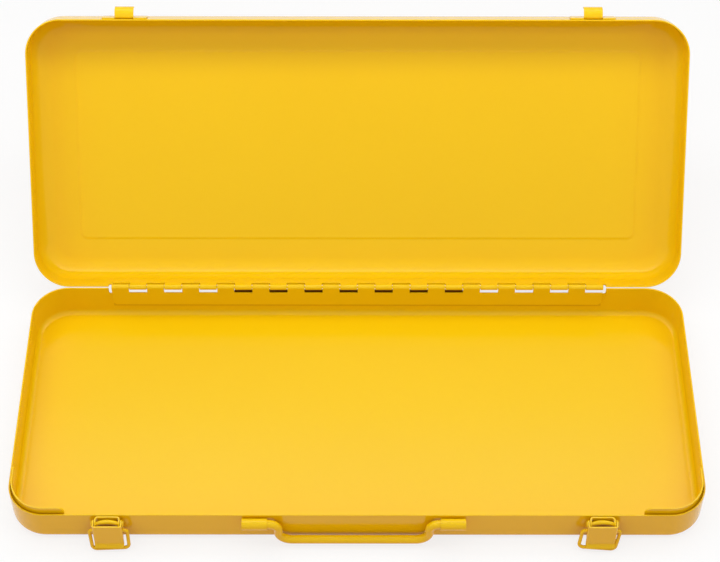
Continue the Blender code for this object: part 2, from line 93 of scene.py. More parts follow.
# Notch for the hinge in the rear walls. The tray's is raised behind the slots that look dark in the photograph
NOTCH_CLEARANCE = 0.0038
NOTCH_END_CLEARANCE = 0.0018
NOTCH_DEPTH = KNUCKLE_RADIUS - RIM_GAP / 2 + NOTCH_CLEARANCE
NOTCH_HALF = HINGE_LENGTH / 2 + NOTCH_END_CLEARANCE
NOTCH_TOP_RADIUS = 0.0004
NOTCH_FOOT_RADIUS = 0.0008
NOTCH_SPREAD = 0.0018
NOTCH_RAISED_DEPTH = 0.0012
NOTCH_RAISED = (-7 * KNUCKLE_PITCH, 6 * KNUCKLE_PITCH)
NOTCH_SHOULDER = 0.0006

# Strips in the front corners
GUIDE_SHEET = 0.0008
GUIDE_FRONT_LEG = {"left": 0.0307, "right": 0.0335}
GUIDE_SIDE_LEG = 0.0292
GUIDE_RISE = 0.004
GUIDE_REACH = 0.009
GUIDE_JOGGLE = 0.0005
GUIDE_JOGGLE_TOP = 0.0012
GUIDE_JOGGLE_HEIGHT = 0.0015
GUIDE_END_RADIUS = 0.0038

# Handle rod and its clips, a little left of the middle as in the photograph
HANDLE_SHIFT = Vector((-0.0016, 0.0, 0.0))
HANDLE_AXIS = Vector(JOINTS["handle_swing"]["pos_m"]) + HANDLE_SHIFT
ROD_RADIUS = 0.0023
ROD_END_ROUNDING = 0.3
ROD_END_INSET = 0.0004
HANDLE_ARM_X = 0.0392
HANDLE_DROP = 0.0144
HANDLE_SHOULDER_BEND = 0.005
HANDLE_GRIP_BEND = 0.007
CLIP_SHEET = 0.0006
CLIP_RADIUS = 0.00305
CLIP_LEAF = 0.010
CLIP_INNER_X = 0.0448
CLIP_OUTER_X = 0.0579

# Latches
LATCH_SHEET = 0.0008
PIN_RADIUS = 0.00105
PIN_BOW = Vector((0.0, 0.0006, 0.0009))
PIN_SWELL = 0.0002
PIN_HEAD_RADIUS = 0.0017
PIN_HEAD_HEIGHT = 0.0006
PIN_HEAD_STRAIGHT = 0.4
PIN_HEAD_TIP = 0.0001
PIN_HEAD_CLEARANCE = 0.0002
SADDLE_LENGTH = 0.0155
SADDLE_BEND = 0.0019
EAR_RADIUS = 0.0022
EAR_SWEEP = math.radians(140.0)
EAR_DROP = 0.0045
EAR_SIDE_CLEARANCE = 0.0003
PULL_WIDTH = 0.0154
PULL_FACE = 0.0034
PULL_RISE = 0.0019
PULL_LENGTH = 0.0152
PULL_BEND = 0.0012
PULL_FLANGE = 0.0053
FLANGE_CORNER = 0.0012
FLANGE_STRAIGHT = 0.0093
FLANGE_TAPER = 0.0045
LIP_RADIUS = 0.002
LIP_ANGLE = math.radians(39.0)
LIP_LENGTH = 0.0017
WIRE_RADIUS = 0.00095
WIRE_SIDE_CLEARANCE = 0.0004
WIRE_END_REACH = 0.0006
WIRE_SHOULDER_BEND = 0.0018
WIRE_BAR_BEND = 0.0026
SADDLE_HALF = PULL_WIDTH / 2 - LATCH_SHEET - EAR_SIDE_CLEARANCE
PIN_HEAD_X = PULL_WIDTH / 2 + PIN_HEAD_CLEARANCE
WIRE_LEG_X = PIN_HEAD_X + PIN_HEAD_HEIGHT + WIRE_SIDE_CLEARANCE + WIRE_RADIUS
WIRE_END_X = PULL_WIDTH / 2 - LATCH_SHEET - WIRE_END_REACH

# Unevenness in the photograph: shifts along X, and the shift and lift of each wire's lower corners
LATCH_SHIFT = {"left": -0.0004, "right": -0.0017}
CATCH_SHIFT = {"left": 0.0012, "right": 0.0}
WIRE_BENT = {"left": (0.0009, 0.0003, 0.0, 0.001), "right": (-0.0015, -0.0021, 0.0018, 0.0)}

# Catches
CATCH_SHEET = 0.0008
CATCH_WIDTH = 0.0247
CATCH_SEAT = 0.0001
CATCH_LOW = 0.0003
CATCH_HEIGHT = 0.0085
CATCH_CORNER_RADIUS = 0.0015
HOOK_WIDTH = 0.0103
HOOK_REACH = 0.0063
HOOK_RISE = 0.0054
HOOK_FLOOR = 0.0008
HOOK_ROOT_BEND = 0.0012
HOOK_LIP_BEND = 0.0036

# Fineness
CORNER_STEPS = 20
SIDE_STEPS = 12
EDGE_STEPS = 10
BEND_STEPS = 10
FOLD_STEPS = 6
TONGUE_STEPS = 12
CURL_STEPS = 26
RIM_STEPS = 3
END_STEPS = 4
DOME_STEPS = 5
PIN_STEPS = 16
CLIP_COLUMNS = 4
ROD_SIDES = 32
WIRE_SIDES = 24
CUT_EDGE = 0.00014
CUT_EDGE_SEGMENTS = 2
SHARP_ANGLE = math.radians(32.0)
ROUNDING_ERROR = 1e-6

# Paint
YELLOW = (0.893, 0.574, 0.003, 1.0)
YELLOW_DEEP = (0.863, 0.538, 0.002, 1.0)
PAINT_ROUGHNESS = 0.14
PAINT_IOR = 1.31
SCRATCH_TURN = math.radians(23.0)
SCRATCH_STRETCH = (14.0, 900.0, 400.0)
SCRATCH_EDGE = (0.66, 0.74)

# Painted shade on the tray's rear wall, inside and on the rim: behind the middle slots, which lie in shadow,
# and along the leaf's foot, under the leaf's overhang
SHADE_FRONT = CASE_DEPTH / 2 - 2 * SHEET
SHADE_BACK = CASE_DEPTH / 2 - SHEET / 16
# Painted shade: dark brown where the middle slots of the hinge look into shadow
SLOT_SHADE_TINT = (0.11, 0.042, 0.001, 1.0)
SLOT_SHADE_DEPTH = 0.006
SLOT_SHADE_LOW = (NOTCH_RAISED[0] - KNUCKLE_GAP, SHADE_FRONT, TRAY_HEIGHT - SLOT_SHADE_DEPTH)
SLOT_SHADE_HIGH = (NOTCH_RAISED[1] + KNUCKLE_GAP, SHADE_BACK, TRAY_HEIGHT)
# Painted shade: a darker line under the hinge leaf's foot, where its overhang casts shade
LEAF_FOOT_SHADE_TINT = (0.75, 0.44, 0.002, 1.0)
LEAF_FOOT_SHADE_DEPTH = 0.0023
LEAF_FOOT_SHADE_LOW = (-HINGE_LENGTH / 2, SHADE_FRONT, HINGE.z - LEAF_HEIGHT - LEAF_FOOT_SHADE_DEPTH)
LEAF_FOOT_SHADE_HIGH = (HINGE_LENGTH / 2, SHADE_BACK, HINGE.z - LEAF_HEIGHT)
SHELL_PAINTED_SHADE = ((SLOT_SHADE_LOW, SLOT_SHADE_HIGH, SLOT_SHADE_TINT), (LEAF_FOOT_SHADE_LOW, LEAF_FOOT_SHADE_HIGH, LEAF_FOOT_SHADE_TINT))

# Studio
FLOOR_REACH = 4.0
FLOOR_Z = -0.0002
FLOOR_WHITE = (0.95, 0.95, 0.95, 1.0)
FLOOR_GLOW = 0.78
FLOOR_FADE = (0.3, 1.2)
FLOOR_BOUNCE = (0.82, 0.52, 0.32, 1.0)
ROOM_COLOUR = (1.0, 1.0, 1.0, 1.0)
ROOM_LIGHT = 0.6
OVERHEAD_PLACE = Vector((-0.15, 0.075, 1.1))
OVERHEAD_SIZE = (1.6, 0.25)
OVERHEAD_POWER = 2.0
HINGE_STRIP_PLACE = Vector((0.0, 0.12, 0.42))
HINGE_STRIP_SIZE = (1.0, 0.1)
HINGE_STRIP_POWER = 0.72
FRONT_STRIP_PLACE = Vector((0.0, -0.15, 0.6))
FRONT_STRIP_SIZE = (1.2, 0.12)
FRONT_STRIP_POWER = 1.0
SHINE_PLACE = Vector((0.0, 1.33, 3.0))
SHINE_SIZE = (4.5, 1.46)
SHINE_POWER = 42.0

# Camera, fitted to the photograph's 720 by 562 frame
LENS = 97.965
SENSOR = 36.0
NEAREST = 0.01
CAMERA_PLACE = Vector((0.00129, -0.61864, 0.88344))
CAMERA_PITCH = math.radians(50.933)
CAMERA_YAW = math.radians(0.0147)
CAMERA_ROLL = math.radians(0.0657)


def parts(steps):
    """Even fractions from 0 to 1."""
    return [k / steps for k in range(steps + 1)]


# Meshes

def loft(loops):
    """Skin a run of closed loops that have equal point counts, and close both ends."""
    shape = bmesh.new()
    rings = [[shape.verts.new(point) for point in loop] for loop in loops]
    for lower, upper in zip(rings, rings[1:]):
        count = len(lower)
        for i in range(count):
            j = (i + 1) % count
            shape.faces.new((lower[i], lower[j], upper[j], upper[i]))
    shape.faces.new(rings[0])
    shape.faces.new(rings[-1])
    bmesh.ops.recalc_face_normals(shape, faces=shape.faces)
    return shape


def sheet_grid(rows, present):
    """A thin sheet from rows of points. present(i, j) tells if the cell right of i and above j is there."""
    shape = bmesh.new()
    corners = {}
    for j in range(len(rows) - 1):
        for i in range(len(rows[0]) - 1):
            if not present(i, j):
                continue
            ring = []
            for a, b in ((i, j), (i + 1, j), (i + 1, j + 1), (i, j + 1)):
                if (a, b) not in corners:
                    corners[(a, b)] = shape.verts.new(rows[b][a])
                ring.append(corners[(a, b)])
            shape.faces.new(ring)
    return shape


def add_piece(name, shape, body, node, material, gauge=None, edge=None):
    """Make a piece from a mesh, give sheet its gauge, round its cut edges and hang it on its body."""
    mesh = bpy.data.meshes.new(name)
    shape.to_mesh(mesh)
    shape.free()
    mesh.shade_smooth()
    if gauge is None:
        mesh.set_sharp_from_angle(angle=SHARP_ANGLE)
    mesh.materials.append(material)
    thing = bpy.data.objects.new(name, mesh)
    bpy.context.scene.collection.objects.link(thing)
    if gauge is not None:
        wall = thing.modifiers.new("gauge", "SOLIDIFY")
        wall.thickness = gauge
        wall.offset = 0.0
        wall.use_even_offset = True
        wall.use_quality_normals = True
    if edge is not None:
        rounding = thing.modifiers.new("cut_edge", "BEVEL")
        rounding.width = edge
        rounding.segments = CUT_EDGE_SEGMENTS
        rounding.limit_method = "ANGLE"
        rounding.angle_limit = SHARP_ANGLE
    normals = thing.modifiers.new("flat_faces", "WEIGHTED_NORMAL")
    normals.keep_sharp = gauge is None and edge is None
    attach(thing, body)
    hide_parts(node)


# Plan of the shells: four corners and four sides, with the hinge notch in the rear side

def notch_end():
    """Rim stations at the notch's end on +X: place below, place on the rim, drop, and outward direction."""
    points = []
    for part in parts(END_STEPS):
        angle = part * math.pi / 2
        x = NOTCH_HALF + NOTCH_TOP_RADIUS * (1 - math.sin(angle))
        drop = NOTCH_TOP_RADIUS * (1 - math.cos(angle))
        points.append((x, drop, -math.sin(angle), math.cos(angle)))
    for part in parts(END_STEPS):
        angle = part * math.pi / 2
        x = NOTCH_HALF - NOTCH_FOOT_RADIUS * (1 - math.cos(angle))
        drop = NOTCH_DEPTH - NOTCH_FOOT_RADIUS * (1 - math.sin(angle))
        points.append((x, drop, -math.cos(angle), math.sin(angle)))
    last = len(points) - 1
    spread = [NOTCH_HALF + NOTCH_SPREAD * (1 - 2 * k / last) for k in range(last + 1)]
    return [(below, *point) for below, point in zip(spread, points)]


def rear_stations():
    """Stations of the rear side from +X to -X: share of the side, then place, drop and outward direction."""
    half = CASE_WIDTH / 2 - CORNER_RADIUS
    right = notch_end()
    left = [(-below, -x, drop, -across, up) for below, x, drop, across, up in reversed(right)]
    places = [HINGE_LENGTH / 2 * (1 - 2 * part) for part in parts(KNUCKLES)[1:-1]]
    places += [NOTCH_RAISED[0] - NOTCH_SHOULDER, NOTCH_RAISED[1] + NOTCH_SHOULDER]
    middle = [(x, x, NOTCH_DEPTH, 0.0, 1.0) for x in sorted(places, reverse=True)]
    stations = right + middle + left
    return [((1 - below / half) / 2, x, drop, across, up) for below, x, drop, across, up in stations]


SIDE_PARTS = parts(SIDE_STEPS)[1:-1]
REAR = rear_stations()


def plan(half_x, half_y, radius):
    """Counter-clockwise outline with an outward direction at each point."""
    points = []
    signs = ((1, 1), (-1, 1), (-1, -1), (1, -1))
    arcs = []
    for turn, (side_x, side_y) in enumerate(signs):
        centre = Vector((side_x * (half_x - radius), side_y * (half_y - radius)))
        arc = []
        for part in parts(CORNER_STEPS):
            angle = (turn + part) * math.pi / 2
            outward = Vector((math.cos(angle), math.sin(angle)))
            arc.append((centre + radius * outward, outward))
        arcs.append(arc)
    for turn, arc in enumerate(arcs):
        points += arc
        start, outward = arc[-1]
        end = arcs[(turn + 1) % 4][0][0]
        steps = [station[0] for station in REAR] if turn == 0 else SIDE_PARTS
        points += [(start.lerp(end, part), outward) for part in steps]
    return points


REAR_START = CORNER_STEPS + 1
CASE_PLAN = plan(CASE_WIDTH / 2, CASE_DEPTH / 2, CORNER_RADIUS)


def plan_loop(inset, z):
    """The case's outline, drawn in by an inset, at one height."""
    return [(*(point - outward * inset), z) for point, outward in CASE_PLAN]


def rim_loop(inset, lift, rim_z, raised):
    """The rim's line, which dips into the notch. Lift moves it out of the sheet's cut edge."""
    raised_from, raised_to = NOTCH_RAISED
    loop = []
    for k, (point, outward) in enumerate(CASE_PLAN):
        place = point - outward * inset
        if REAR_START <= k < REAR_START + len(REAR):
            _, x, drop, across, up = REAR[k - REAR_START]
            if raised and raised_from - KNUCKLE_GAP < x < raised_to + KNUCKLE_GAP:
                drop = NOTCH_RAISED_DEPTH
            loop.append((x + across * lift, place.y, rim_z - drop + up * lift))
        else:
            loop.append((*place, rim_z + lift))
    return loop


def shell_loops(height, edge_radius, inner_radius, raised):
    """Loops of a shell that stands on its bottom, from the inner face over the rim to the outer face."""
    below_notch = height - NOTCH_DEPTH - 2 * RIM_ROUNDING
    loops = []
    for part in reversed(parts(EDGE_STEPS)):
        angle = part * math.pi / 2
        inset = SHEET + inner_radius * (1 - math.cos(angle))
        loops.append(plan_loop(inset, SHEET + inner_radius * (1 - math.sin(angle))))
    loops.append(plan_loop(SHEET, (below_notch + edge_radius) / 2))
    for part in parts(RIM_STEPS):
        angle = part * math.pi / 2
        inset = SHEET - RIM_ROUNDING * (1 - math.cos(angle))
        loops.append(rim_loop(inset, -RIM_ROUNDING * (1 - math.sin(angle)), height, raised))
    for part in reversed(parts(RIM_STEPS)):
        angle = part * math.pi / 2
        inset = RIM_ROUNDING * (1 - math.cos(angle))
        loops.append(rim_loop(inset, -RIM_ROUNDING * (1 - math.sin(angle)), height, raised))
    loops.append(plan_loop(0.0, (below_notch + edge_radius) / 2))
    for part in parts(EDGE_STEPS):
        angle = part * math.pi / 2
        loops.append(plan_loop(edge_radius * (1 - math.cos(angle)), edge_radius * (1 - math.sin(angle))))
    return loops


def panel_loops(face_z):
    """The soft step of the lid's pressed panel, from its outer line inwards."""
    loops = []
    for part in parts(FOLD_STEPS):
        rise = PANEL_RISE * (1 - math.cos(math.pi * part)) / 2
        draw = PANEL_SLOPE * part
        half_x = CASE_WIDTH / 2 - PANEL_END_INSET - draw
        half_y = CASE_DEPTH / 2 - PANEL_INSET - draw
        outline = plan(half_x, half_y, PANEL_CORNER_RADIUS - draw)
        loops.append([(point.x, point.y - PANEL_SHIFT, face_z + rise) for point, _ in outline])
    return loops


def opened(point):
    """Where a point of the closed lid is when the lid stands open."""
    return HINGE + Matrix.Rotation(-LID_SWING, 3, "X") @ (Vector(point) - HINGE)


def make_tray(paint):
    """The tray is one shell with the notch raised in the middle."""
    shape = loft(shell_loops(TRAY_HEIGHT, TRAY_EDGE_RADIUS, TRAY_INNER_RADIUS, raised=True))
    add_piece("tray_pressing", shape, "base", "base_tray", paint)


def make_lid(paint):
    """The lid is shaped as a tray with a raised panel, then turned over and opened."""
    shell = shell_loops(LID_DEPTH, LID_EDGE_RADIUS, LID_INNER_RADIUS, raised=False)
    loops = list(reversed(panel_loops(SHEET))) + shell + panel_loops(0.0)
    turned = [[opened((x, y, LID_TOP_Z - z)) for x, y, z in loop] for loop in loops]
    add_piece("lid_pressing", loft(turned), "lid", "lid_shell", paint)


# Corner guides

def guide_stations(front_leg):
    """Stations along a front corner's outer line: distance to the nearer end, place and inward direction."""
    straight = front_leg - CORNER_RADIUS
    arc = CORNER_RADIUS * math.pi / 2
    length = straight + arc + GUIDE_SIDE_LEG - CORNER_RADIUS
    rounding = [GUIDE_END_RADIUS * (1 - math.cos(part * math.pi / 2)) for part in parts(BEND_STEPS)]
    distances = rounding + [straight + arc * part for part in parts(CORNER_STEPS)]
    distances += [length - s for s in rounding]
    centre = Vector((CASE_WIDTH / 2 - CORNER_RADIUS, FRONT_Y + CORNER_RADIUS))
    stations = []
    for s in sorted(distances):
        angle = min(max(s - straight, 0.0), arc) / CORNER_RADIUS
        outward = Vector((math.sin(angle), -math.cos(angle)))
        run = Vector((math.cos(angle), math.sin(angle)))
        beyond = s - straight - angle * CORNER_RADIUS
        stations.append((min(s, length - s), centre + outward * CORNER_RADIUS + run * beyond, -outward))
    return stations


def make_guide(word, side, paint):
    """A bent strip welded inside the corner. It steps inwards and stands above the rim."""
    low = SHEET + SEAT_GAP
    high = low + GUIDE_JOGGLE
    bottom = TRAY_HEIGHT - GUIDE_REACH
    step_top = TRAY_HEIGHT - GUIDE_JOGGLE_TOP
    step = []
    for part in parts(FOLD_STEPS):
        depth = low + GUIDE_JOGGLE * (1 - math.cos(math.pi * part)) / 2
        step.append((depth, step_top - GUIDE_JOGGLE_HEIGHT * (1 - part)))
    loops = []
    for to_end, point, inward in guide_stations(GUIDE_FRONT_LEG[word]):
        short = max(GUIDE_END_RADIUS - to_end, 0.0)
        top = TRAY_HEIGHT + GUIDE_RISE - GUIDE_END_RADIUS + math.sqrt(GUIDE_END_RADIUS ** 2 - short ** 2)
        outside = [(low, bottom)] + step + [(high, top)]
        inside = [(depth + GUIDE_SHEET, z) for depth, z in reversed(outside)]
        loop = []
        for depth, z in outside + inside:
            place = point + inward * depth
            loop.append((side * place.x, place.y, z))
        loops.append(loop)
    node = "corner_guide_" + word
    add_piece("guide_strip_" + word, loft(loops), "base", node, paint, edge=CUT_EDGE)


# Piano hinge

def curl_path(radius, gauge, leaf_rows):
    """Middle line of a leaf that stands at -u and rolls over the origin: rows of the leaf, then the curl."""
    middle = radius - gauge / 2
    inner = radius - gauge
    sweep = math.pi + math.acos(-(inner - CURL_GAP) / radius)
    path = [(-middle, v) for v in leaf_rows]
    for part in parts(CURL_STEPS):
        angle = math.pi - sweep * part
        path.append((middle * math.cos(angle), middle * math.sin(angle)))
    return path


def make_leaf(name, body, node, down, first_knuckle, placed, paint):
    """One hinge leaf. Its rolled knuckles alternate with the other leaf's."""
    start = -HINGE_LENGTH / 2
    columns = {start, start + LEAF_CHAMFER, -start - LEAF_CHAMFER, -start}
    for k in range(first_knuckle, KNUCKLES, 2):
        left = start + k * KNUCKLE_PITCH + (KNUCKLE_GAP / 2 if k > 0 else 0.0)
        right = start + (k + 1) * KNUCKLE_PITCH - (KNUCKLE_GAP / 2 if k < KNUCKLES - 1 else 0.0)
        columns |= {left, right}
    edges = sorted(columns)
    relief = -KNUCKLE_RADIUS - KNUCKLE_RELIEF
    leaf_rows = (-LEAF_HEIGHT, -LEAF_HEIGHT + LEAF_CHAMFER, relief, relief / 2)
    path = curl_path(KNUCKLE_RADIUS, LEAF_SHEET, leaf_rows)
    rows = []
    for k, (u, v) in enumerate(path):
        row = []
        for x in edges:
            cut_off = k == 0 and abs(x) > -start - LEAF_CHAMFER / 2
            height = leaf_rows[1] - CUT_EDGE if cut_off else v
            row.append(placed((x, u, down * height)))
        rows.append(row)

    def present(i, j):
        """The two lower rows are whole. Above them there are only this leaf's own knuckles."""
        if j < 2:
            return True
        middle = (edges[i] + edges[i + 1]) / 2
        k = int((middle - start) / KNUCKLE_PITCH)
        from_centre = abs(middle - start - (k + 0.5) * KNUCKLE_PITCH)
        inside = from_centre < (KNUCKLE_PITCH - KNUCKLE_GAP) / 2 + ROUNDING_ERROR
        return k % 2 == first_knuckle and inside

    shape = sheet_grid(rows, present)
    add_piece(name, shape, body, node, paint, gauge=LEAF_SHEET, edge=CUT_EDGE)


def make_hinge(paint):
    """Two leaves whose knuckles alternate, and the wire through them."""
    def at_axis(point):
        return HINGE + Vector(point)

    def on_lid(point):
        return opened(at_axis(point))

    make_leaf("hinge_leaf_lower", "base", "hinge_leaf_base", 1, 0, at_axis, paint)
    make_leaf("hinge_leaf_upper", "lid", "hinge_leaf_lid", -1, 1, on_lid, paint)
    half = HINGE_LENGTH / 2
    stations = []
    for part in parts(DOME_STEPS):
        back = HINGE_WIRE_ROUNDING * (1 - math.sin(part * math.pi / 2))
        stations.append((-half + back, HINGE_WIRE_RADIUS - back))
    stations += [(-x, radius) for x, radius in reversed(stations)]
    loops = [[HINGE + Vector(p) for p in circle_x(x, radius, WIRE_SIDES)] for x, radius in stations]
    add_piece("hinge_wire", loft(loops), "base", "hinge_pin", paint)


# Rods and wires

def circle_x(x, radius, sides):
    """Points of a circle round the X axis."""
    angles = [2 * math.pi * k / sides for k in range(sides)]
    return [(x, radius * math.cos(a), radius * math.sin(a)) for a in angles]


def bend_path(corners, radii, steps):
    """An open run of straight pieces whose inner corners are arcs."""
    corners = [Vector(corner) for corner in corners]
    path = [corners[0]]
    for before, corner, after, radius in zip(corners, corners[1:], corners[2:], radii):
        into = (corner - before).normalized()
        out = (after - corner).normalized()
        turn = into.angle(out)
        centre = corner + (out - into).normalized() * (radius / math.cos(turn / 2))
        arm = corner - into * radius * math.tan(turn / 2) - centre
        axis = into.cross(out)
        for part in parts(steps):
            path.append(centre + Matrix.Rotation(turn * part, 3, axis) @ arm)
    path.append(corners[-1])
    return path


def directions(path):
    """The way the path runs at each of its points."""
    last = len(path) - 1
    return [(path[min(i + 1, last)] - path[max(i - 1, 0)]).normalized() for i in range(last + 1)]


def rod(path, radius, sides, placed):
    """A round rod with slightly rounded ends, along a path in the XZ plane."""
    normal = Vector((0.0, 1.0, 0.0))
    ways = directions(path)
    rounding = radius * ROD_END_ROUNDING
    ends = []
    for part in parts(END_STEPS):
        back = rounding * (1 - math.sin(part * math.pi / 2))
        ends.append((back, radius - rounding * (1 - math.cos(math.pi / 2 * (1 - part)))))
    stations = [(path[0] + ways[0] * back, ways[0], size) for back, size in ends]
    stations += [(point, way, radius) for point, way in zip(path[1:-1], ways[1:-1])]
    stations += [(path[-1] - ways[-1] * back, ways[-1], size) for back, size in reversed(ends)]
    loops = []
    for point, way, size in stations:
        across = way.cross(normal)
        loop = []
        for k in range(sides):
            angle = 2 * math.pi * k / sides
            loop.append(placed(point + size * (math.cos(angle) * across + math.sin(angle) * normal)))
        loops.append(loop)
    return loft(loops)


def make_handle(paint):
    """A rod bent to a grip, with ends that turn in the clips."""
    end = CLIP_OUTER_X - ROD_END_INSET
    corners = (
        (-end, 0.0, 0.0),
        (-HANDLE_ARM_X, 0.0, 0.0),
        (-HANDLE_ARM_X, 0.0, -HANDLE_DROP),
        (HANDLE_ARM_X, 0.0, -HANDLE_DROP),
        (HANDLE_ARM_X, 0.0, 0.0),
        (end, 0.0, 0.0),
    )
    radii = (HANDLE_SHOULDER_BEND, HANDLE_GRIP_BEND, HANDLE_GRIP_BEND, HANDLE_SHOULDER_BEND)
    path = bend_path(corners, radii, 2 * BEND_STEPS)
    shape = rod(path, ROD_RADIUS, ROD_SIDES, lambda point: HANDLE_AXIS + point)
    add_piece("handle_rod", shape, "handle", "carry_handle", paint)


def make_clip(word, side, paint):
    """A strip on the front wall, rolled round the handle's end."""
    path = curl_path(CLIP_RADIUS, CLIP_SHEET, (-CLIP_LEAF, -CLIP_LEAF / 2))
    rows = []
    for u, v in path:
        row = []
        for part in parts(CLIP_COLUMNS):
            x = CLIP_INNER_X + (CLIP_OUTER_X - CLIP_INNER_X) * part
            row.append(HANDLE_AXIS + Vector((side * x, -u, v)))
        rows.append(row)
    shape = sheet_grid(rows, lambda i, j: True)
    node = "handle_clip_" + word
    add_piece("rod_clip_" + word, shape, "base", node, paint, gauge=CLIP_SHEET, edge=CUT_EDGE)


# Latches

def channel_section(half_width, gauge, bend, depth):
    """U section of folded sheet: the web lies at d = 0 and the flanges run to d = depth."""
    outside = []
    inside = []
    for side in (-1, 1):
        arc = parts(FOLD_STEPS)
        if side > 0:
            arc.reverse()
        for part in arc:
            angle = part * math.pi / 2
            for line, radius in ((outside, bend), (inside, bend - gauge)):
                x = side * (half_width - bend + radius * math.cos(angle))
                line.append((x, bend - radius * math.sin(angle)))
    outside = [(-half_width, depth)] + outside + [(half_width, depth)]
    inside = [(-half_width + gauge, depth)] + inside + [(half_width - gauge, depth)]
    return outside + inside[::-1]


def make_saddle(word, pivot, paint):
    """A folded plate on the front wall with two ears for the pivot pin."""
    least = SADDLE_BEND + LATCH_SHEET / 2
    web_to_pivot = FRONT_Y - SEAT_GAP - pivot.y
    stations = []
    for part in parts(2 * BEND_STEPS):
        angle = math.pi / 2 - part * EAR_SWEEP
        stations.append((EAR_RADIUS * math.sin(angle), web_to_pivot + EAR_RADIUS * math.cos(angle)))
    stations.append((-EAR_DROP, least))
    stations.append((EAR_RADIUS - SADDLE_LENGTH, least))
    loops = []
    for z, depth in stations:
        section = channel_section(SADDLE_HALF, LATCH_SHEET, SADDLE_BEND, depth)
        loops.append([pivot + Vector((u, web_to_pivot - d, z)) for u, d in section])
    node = "latch_bracket_" + word
    add_piece("latch_saddle_" + word, loft(loops), "base", node, paint, edge=CUT_EDGE)


def make_pin(word, pivot, paint):
    """Pivot pin: domed heads and a middle that is swollen and bowed upwards."""
    dome = []
    for part in parts(DOME_STEPS):
        angle = part * math.pi / 2
        x = PIN_HEAD_X + PIN_HEAD_HEIGHT * (PIN_HEAD_STRAIGHT + (1 - PIN_HEAD_STRAIGHT) * math.sin(angle))
        dome.append((x, PIN_HEAD_RADIUS * math.cos(angle) + PIN_HEAD_TIP * math.sin(angle)))
    half = [(PIN_HEAD_X, PIN_RADIUS), (PIN_HEAD_X, PIN_HEAD_RADIUS)] + dome
    inner = SADDLE_HALF - LATCH_SHEET
    middle = []
    for part in parts(PIN_STEPS):
        x = inner * (2 * part - 1)
        crown = 1 - (2 * part - 1) ** 2
        middle.append((x, PIN_RADIUS + PIN_SWELL * crown, crown))
    stations = [(-x, radius, 0.0) for x, radius in reversed(half)]
    stations += middle
    stations += [(x, radius, 0.0) for x, radius in half]
    loops = []
    for x, radius, crown in stations:
        loops.append([pivot + PIN_BOW * crown + Vector(p) for p in circle_x(x, radius, WIRE_SIDES)])
    add_piece("latch_rivet_" + word, loft(loops), "base", "latch_pin_" + word, paint)


def flange_depth(run):
    """How far the pull's side flanges reach behind its face, at a distance from its top."""
    least = PULL_BEND + LATCH_SHEET / 2
    if run < FLANGE_CORNER:
        short = FLANGE_CORNER - run
        return PULL_FLANGE - FLANGE_CORNER + math.sqrt(FLANGE_CORNER ** 2 - short ** 2)
    tapered = min(max((run - FLANGE_STRAIGHT) / FLANGE_TAPER, 0.0), 1.0)
    return PULL_FLANGE + (least - PULL_FLANGE) * (1 - math.cos(math.pi * tapered)) / 2


def pull_stations():
    """Face point (out, up), tilt and flange depth from the pull's top to its lip, about the pivot."""
    runs = [FLANGE_CORNER * (1 - math.cos(part * math.pi / 2)) for part in parts(FOLD_STEPS)]
    runs += [FLANGE_STRAIGHT + FLANGE_TAPER * part for part in parts(BEND_STEPS)]
    stations = [(PULL_FACE, PULL_RISE - run, 0.0, flange_depth(run)) for run in runs]
    least = flange_depth(PULL_LENGTH)
    bend_up = PULL_RISE - PULL_LENGTH
    for part in parts(BEND_STEPS):
        tilt = LIP_ANGLE * part
        out = PULL_FACE + LIP_RADIUS * (1 - math.cos(tilt))
        stations.append((out, bend_up - LIP_RADIUS * math.sin(tilt), tilt, least))
    out, up, tilt, depth = stations[-1]
    tip = (out + LIP_LENGTH * math.sin(tilt), up - LIP_LENGTH * math.cos(tilt), tilt, depth)
    return stations + [tip]


def make_pull(word, pivot, paint):
    """Folded channel with a lip to pull on."""
    loops = []
    for out, up, tilt, depth in pull_stations():
        section = channel_section(PULL_WIDTH / 2, LATCH_SHEET, PULL_BEND, depth)
        loop = []
        for u, d in section:
            loop.append(pivot + Vector((u, d * math.cos(tilt) - out, up - d * math.sin(tilt))))
        loops.append(loop)
    node = "latch_lever_" + word
    body = "lever_" + word
    add_piece("latch_pull_" + word, loft(loops), body, node, paint, edge=CUT_EDGE)


def make_wire(word, axis, paint):
    """Wire loop that hangs from the pull, bent a little by use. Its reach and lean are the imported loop's."""
    node = "latch_bail_" + word
    low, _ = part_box(node)
    bar = Vector((0.0, low.y + WIRE_RADIUS - axis.y, low.z + WIRE_RADIUS - axis.z))
    lean = Matrix.Rotation(math.atan2(bar.y, -bar.z), 3, "X")
    left_shift, right_shift, left_lift, right_lift = WIRE_BENT[word]
    corners = (
        (-WIRE_END_X, 0.0, 0.0),
        (-WIRE_LEG_X, 0.0, 0.0),
        (left_shift - WIRE_LEG_X, 0.0, left_lift - bar.length),
        (right_shift + WIRE_LEG_X, 0.0, right_lift - bar.length),
        (WIRE_LEG_X, 0.0, 0.0),
        (WIRE_END_X, 0.0, 0.0),
    )
    radii = (WIRE_SHOULDER_BEND, WIRE_BAR_BEND, WIRE_BAR_BEND, WIRE_SHOULDER_BEND)
    path = bend_path(corners, radii, BEND_STEPS)
    shape = rod(path, WIRE_RADIUS, WIRE_SIDES, lambda point: axis + lean @ point)
    add_piece("latch_wire_" + word, shape, "bail_" + word, node, paint)


